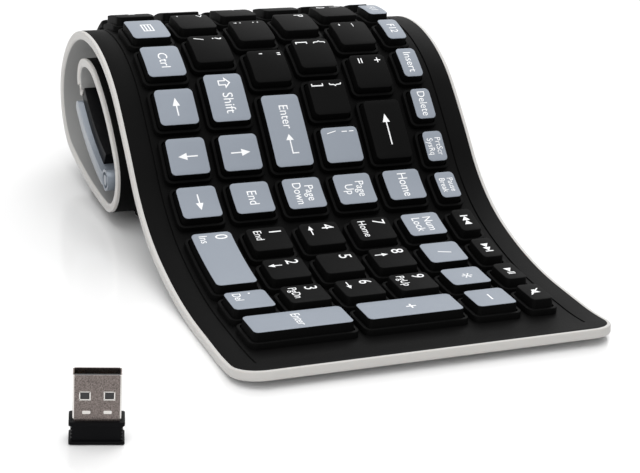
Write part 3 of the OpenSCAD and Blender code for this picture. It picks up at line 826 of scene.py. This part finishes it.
class KEYBOARD_OT_plug(bpy.types.Operator):
    """Makes the folded shell of the plug, with its windows and pressed tabs"""
    bl_idname = "keyboard.plug"
    bl_label = "Plug shell"

    def execute(self, context):
        looks = finishes(context)
        half, face_y = PLUG_WIDTH / 2, PLUG_DEPTH / 2
        shell = block("plug", (-half, -face_y, PLUG_LOW), (half, face_y, PLUG_HIGH))
        bpy.ops.object.mode_set(mode="EDIT")
        round_edges(PLUG_CORNER * MM)
        pick("FACE", lambda face: abs(face.normal.z) > 0.9)
        bpy.ops.mesh.delete(type="FACE")
        # Windows over the contacts, cut through both faces and rounded at their corners
        for middle in (-WINDOW_MIDDLE, WINDOW_MIDDLE):
            for x in (middle - WINDOW_HALF, middle + WINDOW_HALF):
                cut_at(x, "x")
        for z in (WINDOW_LOW, WINDOW_HIGH):
            cut_at(z, "z")

        def in_window(face):
            centre = face.calc_center_median() / MM
            return within_window(centre, 0) and abs(centre.y) > 2

        def on_lip(vertex):
            return abs(vertex.co.y) > 2 * MM and any(in_window(face) for face in vertex.link_faces)

        pick("VERT", on_lip)
        bpy.ops.mesh.bevel(offset=WINDOW_CORNER * MM, segments=4, affect="VERTICES")
        pick("FACE", in_window)
        bpy.ops.mesh.inset(thickness=LIP_WIDTH * MM, depth=-LIP_DEPTH * MM)
        pick("FACE", lambda face: in_window(face) and face.calc_area() > 2 * MM * MM)
        bpy.ops.mesh.delete(type="FACE")
        bpy.ops.object.mode_set(mode="OBJECT")
        shell.data.materials.append(looks["steel"])
        shell.data.materials.append(looks["burnished"])
        for face in shell.data.polygons:
            corner = abs(face.normal.x) > 0.2 and abs(face.normal.y) > 0.2
            face.material_index = 1 if corner or within_window(face.center / MM, SKIN) else 0
        activate(shell)
        solid = shell.modifiers.new("wall", "SOLIDIFY")
        solid.thickness = PLUG_WALL * MM
        solid.offset = -1
        bpy.ops.object.modifier_apply(modifier=solid.name)
        # Tabs pressed out near the grip
        tabs = []
        for x in (-TAB_PLACE, TAB_PLACE):
            for y in (-face_y, face_y):
                tab = block(
                    "tab",
                    (x - TAB_HALF, y - TAB_RAISE, TAB_LOW),
                    (x + TAB_HALF, y + TAB_RAISE, TAB_HIGH),
                )
                bpy.ops.object.mode_set(mode="EDIT")
                round_edges(0.25 * MM, through_wall, 3)
                bpy.ops.object.mode_set(mode="OBJECT")
                dress(tab, looks["burnished"])
                tabs.append(tab)
        plug = join("stamped_plug_shell", [shell] + tabs)
        plug.location = (RECEIVER_PLACE[0] * MM, RECEIVER_PLACE[1] * MM, 0)
        plug.rotation_euler = (0, 0, math.radians(RECEIVER_TURN))
        settle(plug)
        bpy.ops.object.shade_smooth_by_angle(angle=math.radians(SMOOTH_ANGLE))
        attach(plug, "receiver")
        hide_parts("plug_shell")
        return {"FINISHED"}


def within_window(place, margin):
    """Whether a place on the plug shell, in mm, lies in one of its windows, seen from its wide side."""
    x, _, z = place
    off_middle = abs(abs(x) - WINDOW_MIDDLE)
    return off_middle < WINDOW_HALF + margin and WINDOW_LOW - margin < z < WINDOW_HIGH + margin


class KEYBOARD_OT_hard_parts(bpy.types.Operator):
    """Gives the module, the receiver and the inner layers their finishes"""
    bl_idname = "keyboard.hard_parts"
    bl_label = "Hard parts"

    def execute(self, context):
        looks = finishes(context)
        plan = {
            "circuit_film_top": "film", "circuit_film_bottom": "film", "spacer_film": "spacer",
            "cover_plate": "cover", "housing": "abs", "battery_door": "abs", "power_switch": "abs",
            "batteries": "wrap", "battery_contacts": "nickel", "circuit_board": "board",
            "receiver_grip": "abs", "plug_tongue": "tongue", "plug_contacts": "gold",
        }
        for node, look in plan.items():
            dress(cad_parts[node], looks[look])
        # Moulded pieces have rounded edges, so a merged copy with its edges rounded stands for the node
        moulded = (
            # node, name, body, slot, radius of its edges in mm
            ("cover_plate", "moulded_cover", "module", "cover_plastic", 0.4),
            ("housing", "moulded_housing", "module", "black_plastic", 0.3),
            ("receiver_grip", "moulded_grip", "receiver", "receiver_plastic", 0.12),
        )
        for node, name, body, slot, radius in moulded:
            deselect()
            piece = bpy.data.objects.new(name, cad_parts[node].data.copy())
            context.scene.collection.objects.link(piece)
            activate(piece)
            piece.name = piece.data.name = name
            bpy.ops.object.mode_set(mode="EDIT")
            bpy.ops.mesh.select_all(action="SELECT")
            bpy.ops.mesh.remove_doubles(threshold=0.001 * MM)
            bpy.ops.mesh.dissolve_limited(angle_limit=math.radians(0.5))
            bpy.ops.object.mode_set(mode="OBJECT")
            edges = piece.modifiers.new("edges", "BEVEL")
            edges.width = radius * MM
            edges.segments = 2
            edges.limit_method = "ANGLE"
            edges.angle_limit = math.radians(SMOOTH_ANGLE)
            bpy.ops.object.modifier_apply(modifier=edges.name)
            bpy.ops.object.shade_smooth_by_angle(angle=math.radians(30))
            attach(piece, body)
            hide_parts(node)
        return {"FINISHED"}


class KEYBOARD_OT_stage(bpy.types.Operator):
    """Makes the white studio floor, the soft lights and the camera"""
    bl_idname = "keyboard.stage"
    bl_label = "Stage"

    def execute(self, context):
        scene = context.scene
        deselect()
        bpy.ops.mesh.primitive_plane_add(size=6, location=(0, 0, -0.0002))
        floor = named("studio_floor")
        floor.data.materials.append(floor_material(tuple(scene.keyboard_colours.floor)))

        world = bpy.data.worlds.new("white_studio")
        scene.world = world
        world.use_nodes = True
        tree = world.node_tree
        tree.nodes.clear()
        rays = add(tree, "LightPath").outputs
        # Seen directly, mirrored or through something, the studio is brighter than the light it sends
        seen = rays["Is Camera Ray"]
        for ray in ("Is Glossy Ray", "Is Transmission Ray"):
            seen = add(tree, "Math", {0: seen, 1: rays[ray]}, operation="MAXIMUM").outputs[0]
        strength = add(tree, "MapRange", {"Value": seen, "To Min": 0.55, "To Max": 1.0})
        back = add(tree, "Background", {"Color": (1, 1, 1, 1), "Strength": strength.outputs["Result"]})
        add(tree, "OutputWorld", {"Surface": back.outputs["Background"]})

        lamps = (
            # name, place, aimed at, width, power, in metres and watts
            ("softbox_back_right", (0.75, 0.95, 1.1), (0, 0.06, 0), 1.4, 9.0),
            ("softbox_top", (-0.1, -0.1, 1.4), (0, 0.05, 0), 1.5, 11.0),
            ("softbox_front_left", (-1.0, -0.8, 0.7), (-0.05, 0, 0.02), 1.3, 5.5),
        )
        for name, place, aim, width, power in lamps:
            deselect()
            bpy.ops.object.light_add(type="AREA", location=place)
            lamp = bpy.context.object
            lamp.name = lamp.data.name = name
            lamp.data.shape = "DISK"
            lamp.data.size = width
            lamp.data.energy = power
            lamp.rotation_euler = (Vector(aim) - Vector(place)).to_track_quat("-Z", "Y").to_euler()

        deselect()
        bpy.ops.object.camera_add(
            location=CAMERA_PLACE, rotation=[math.radians(angle) for angle in CAMERA_TURN],
        )
        camera = bpy.context.object
        camera.data.sensor_width = CAMERA_SENSOR
        camera.data.lens = CAMERA_LENS
        camera.data.clip_start = 0.01
        scene.camera = camera
        scene.view_settings.view_transform = "Standard"
        return {"FINISHED"}


def floor_material(base):
    """Sprayed white studio table, which keeps its shadows and a faint reflection."""
    material = bpy.data.materials.new("sprayed_white_table")
    material.use_nodes = True
    tree = material.node_tree
    tree.nodes.clear()
    table = add(tree, "BsdfPrincipled", {"Base Color": [*base, 1], "Roughness": 0.12, "IOR": 1.35})
    add(tree, "OutputMaterial", {"Surface": table.outputs["BSDF"]})
    return material


class KEYBOARD_PT_panel(bpy.types.Panel):
    """Sizes and colours, and a button for each group of pieces"""
    bl_idname = "KEYBOARD_PT_panel"
    bl_label = "Roll-up keyboard"
    bl_space_type = "VIEW_3D"
    bl_region_type = "UI"
    bl_category = "Keyboard"

    def draw(self, context):
        layout = self.layout
        for group in (context.scene.keyboard_sizes, context.scene.keyboard_colours):
            column = layout.column(align=True)
            for name in group.__annotations__:
                column.prop(group, name)
        for operator in OPERATORS:
            layout.operator(operator.bl_idname)


OPERATORS = (
    KEYBOARD_OT_key_sheet, KEYBOARD_OT_back_sheet, KEYBOARD_OT_open_keys, KEYBOARD_OT_rolled_keys,
    KEYBOARD_OT_plug, KEYBOARD_OT_hard_parts, KEYBOARD_OT_stage,
)
CLASSES = (KeyboardSizes, KeyboardColours, *OPERATORS, KEYBOARD_PT_panel)


def register():
    for item in CLASSES:
        bpy.utils.register_class(item)
    bpy.types.Scene.keyboard_sizes = PointerProperty(type=KeyboardSizes)
    bpy.types.Scene.keyboard_colours = PointerProperty(type=KeyboardColours)


def unregister():
    del bpy.types.Scene.keyboard_colours
    del bpy.types.Scene.keyboard_sizes
    for item in reversed(CLASSES):
        bpy.utils.unregister_class(item)


def main():
    register()
    for name in ("stage", "key_sheet", "back_sheet", "open_keys", "rolled_keys", "plug", "hard_parts"):
        getattr(bpy.ops.keyboard, name)()
    bpy.data.objects.remove(bpy.data.objects["sheet_path"])


if __name__ == "__main__":
    main()
